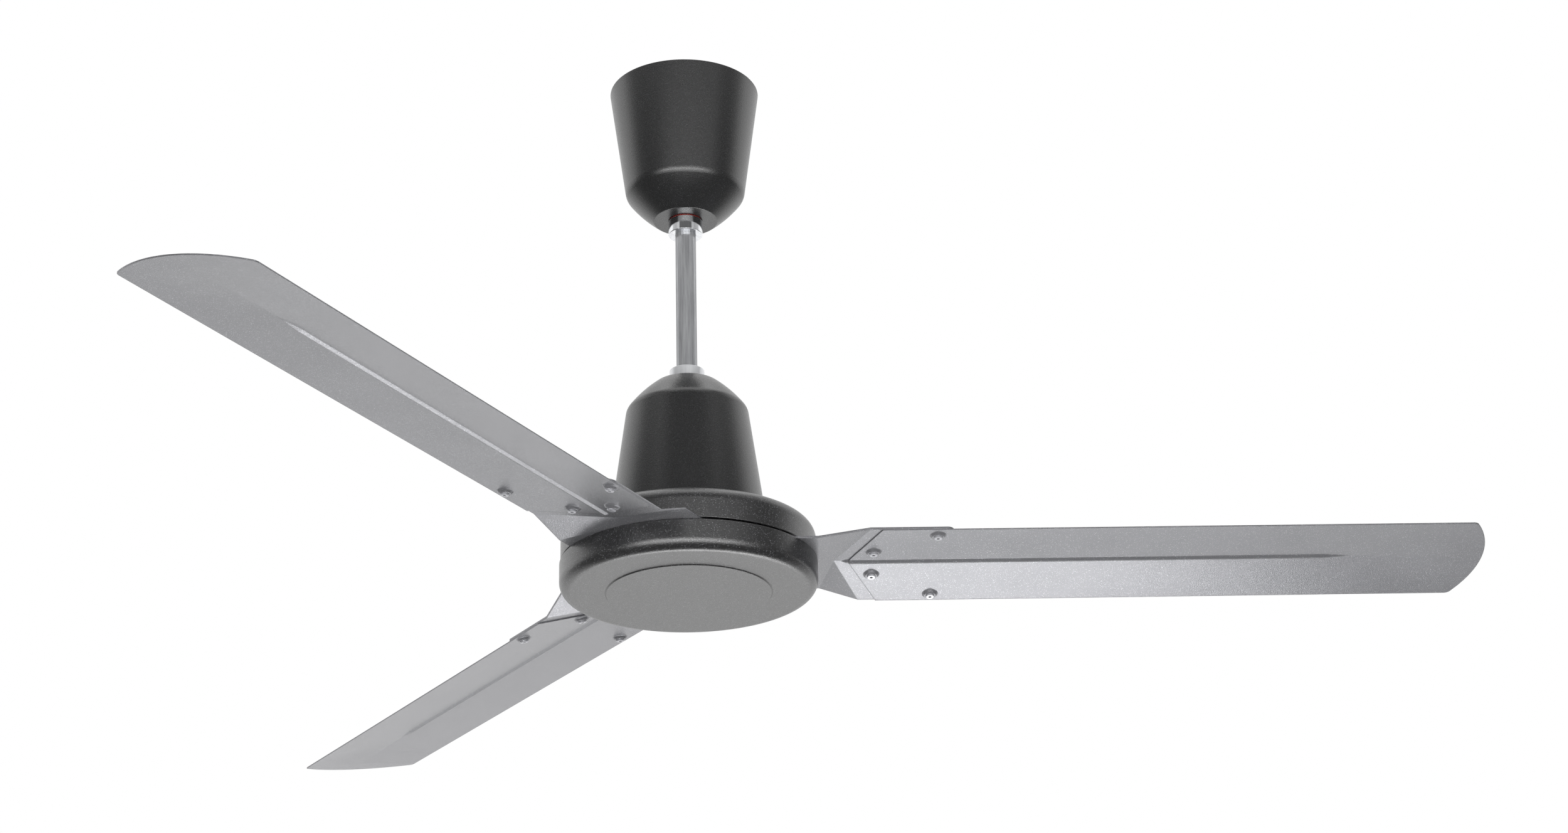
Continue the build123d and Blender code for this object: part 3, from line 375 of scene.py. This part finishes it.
def room_level(tree, heading, turn):
    """Brightness of the room by heading: dim in front of the fan, bright behind, and 1 to the camera."""
    split = tree.nodes.new("ShaderNodeSeparateXYZ")
    tree.links.new(heading, split.inputs["Vector"])
    room = tree.nodes.new("ShaderNodeMapRange")
    room.interpolation_type = "SMOOTHSTEP"
    for name, level in zip(("From Min", "From Max", "To Min", "To Max"), (*turn, ROOM_FRONT, ROOM_BACK)):
        room.inputs[name].default_value = level
    tree.links.new(split.outputs["Y"], room.inputs["Value"])
    path = tree.nodes.new("ShaderNodeLightPath")
    level = tree.nodes.new("ShaderNodeMapRange")
    level.inputs["To Max"].default_value = 1.0
    tree.links.new(path.outputs["Is Camera Ray"], level.inputs["Value"])
    tree.links.new(room.outputs["Result"], level.inputs["To Min"])
    return level.outputs["Result"]


def make_floor():
    """A plain pale floor far below the fan, white to the camera and brightest behind in reflections."""
    bpy.ops.mesh.primitive_plane_add(size=FLOOR_SIZE, location=(0, 0, FLOOR_HEIGHT))
    floor = bpy.context.object
    floor.name = "floor"
    paper = Shader("floor_paper", grey(FLOOR_GREY), FLOOR_ROUGHNESS)
    clouds = paper.noise(FLOOR_CLOUDS, 4)
    paper.set("Base Color", paper.mix(clouds, grey(FLOOR_GREY), grey(FLOOR_GREY * FLOOR_DARKER)))
    place = paper.node("ShaderNodeNewGeometry").outputs["Position"]
    offset = paper.worked_out("ShaderNodeVectorMath", "SUBTRACT", place, FAN_MIDDLE)
    heading = paper.worked_out("ShaderNodeVectorMath", "NORMALIZE", offset)
    level = room_level(paper.tree, heading, FLOOR_TURN)
    seen = paper.node("ShaderNodeEmission", Color=grey(1.0), Strength=level)
    either = paper.tree.nodes.new("ShaderNodeMixShader")
    paper.feed(either.inputs[0], plain_white(paper.tree))
    paper.feed(either.inputs[1], paper.main.outputs["BSDF"])
    paper.feed(either.inputs[2], seen.outputs["Emission"])
    paper.feed(paper.tree.nodes["Material Output"].inputs["Surface"], either.outputs["Shader"])
    floor.data.materials.append(paper.material)


def make_world():
    """A pale room, dim in front of the fan and bright behind it."""
    world = bpy.data.worlds.new("room")
    world.use_nodes = True
    bpy.context.scene.world = world
    tree = world.node_tree
    background = tree.nodes["Background"]
    background.inputs["Color"].default_value = grey(1.0)
    heading = tree.nodes.new("ShaderNodeTexCoord").outputs["Generated"]
    tree.links.new(room_level(tree, heading, ROOM_TURN), background.inputs["Strength"])


def make_lamp(name, place, width, height, power):
    """A soft lamp aimed at the fan's middle, which the camera doesn't see."""
    data = bpy.data.lights.new(name, "AREA")
    data.shape = "RECTANGLE"
    data.size = width
    data.size_y = height
    data.energy = power
    lamp = bpy.data.objects.new(name, data)
    lamp.location = place
    lamp.rotation_euler = (FAN_MIDDLE - Vector(place)).to_track_quat("-Z", "Y").to_euler()
    lamp.visible_camera = False
    bpy.context.scene.collection.objects.link(lamp)


bpy.context.scene.view_settings.view_transform = "Standard"
make_camera()
dress_nodes(make_materials())
make_floor()
make_world()
for lamp in LAMPS:
    make_lamp(*lamp)
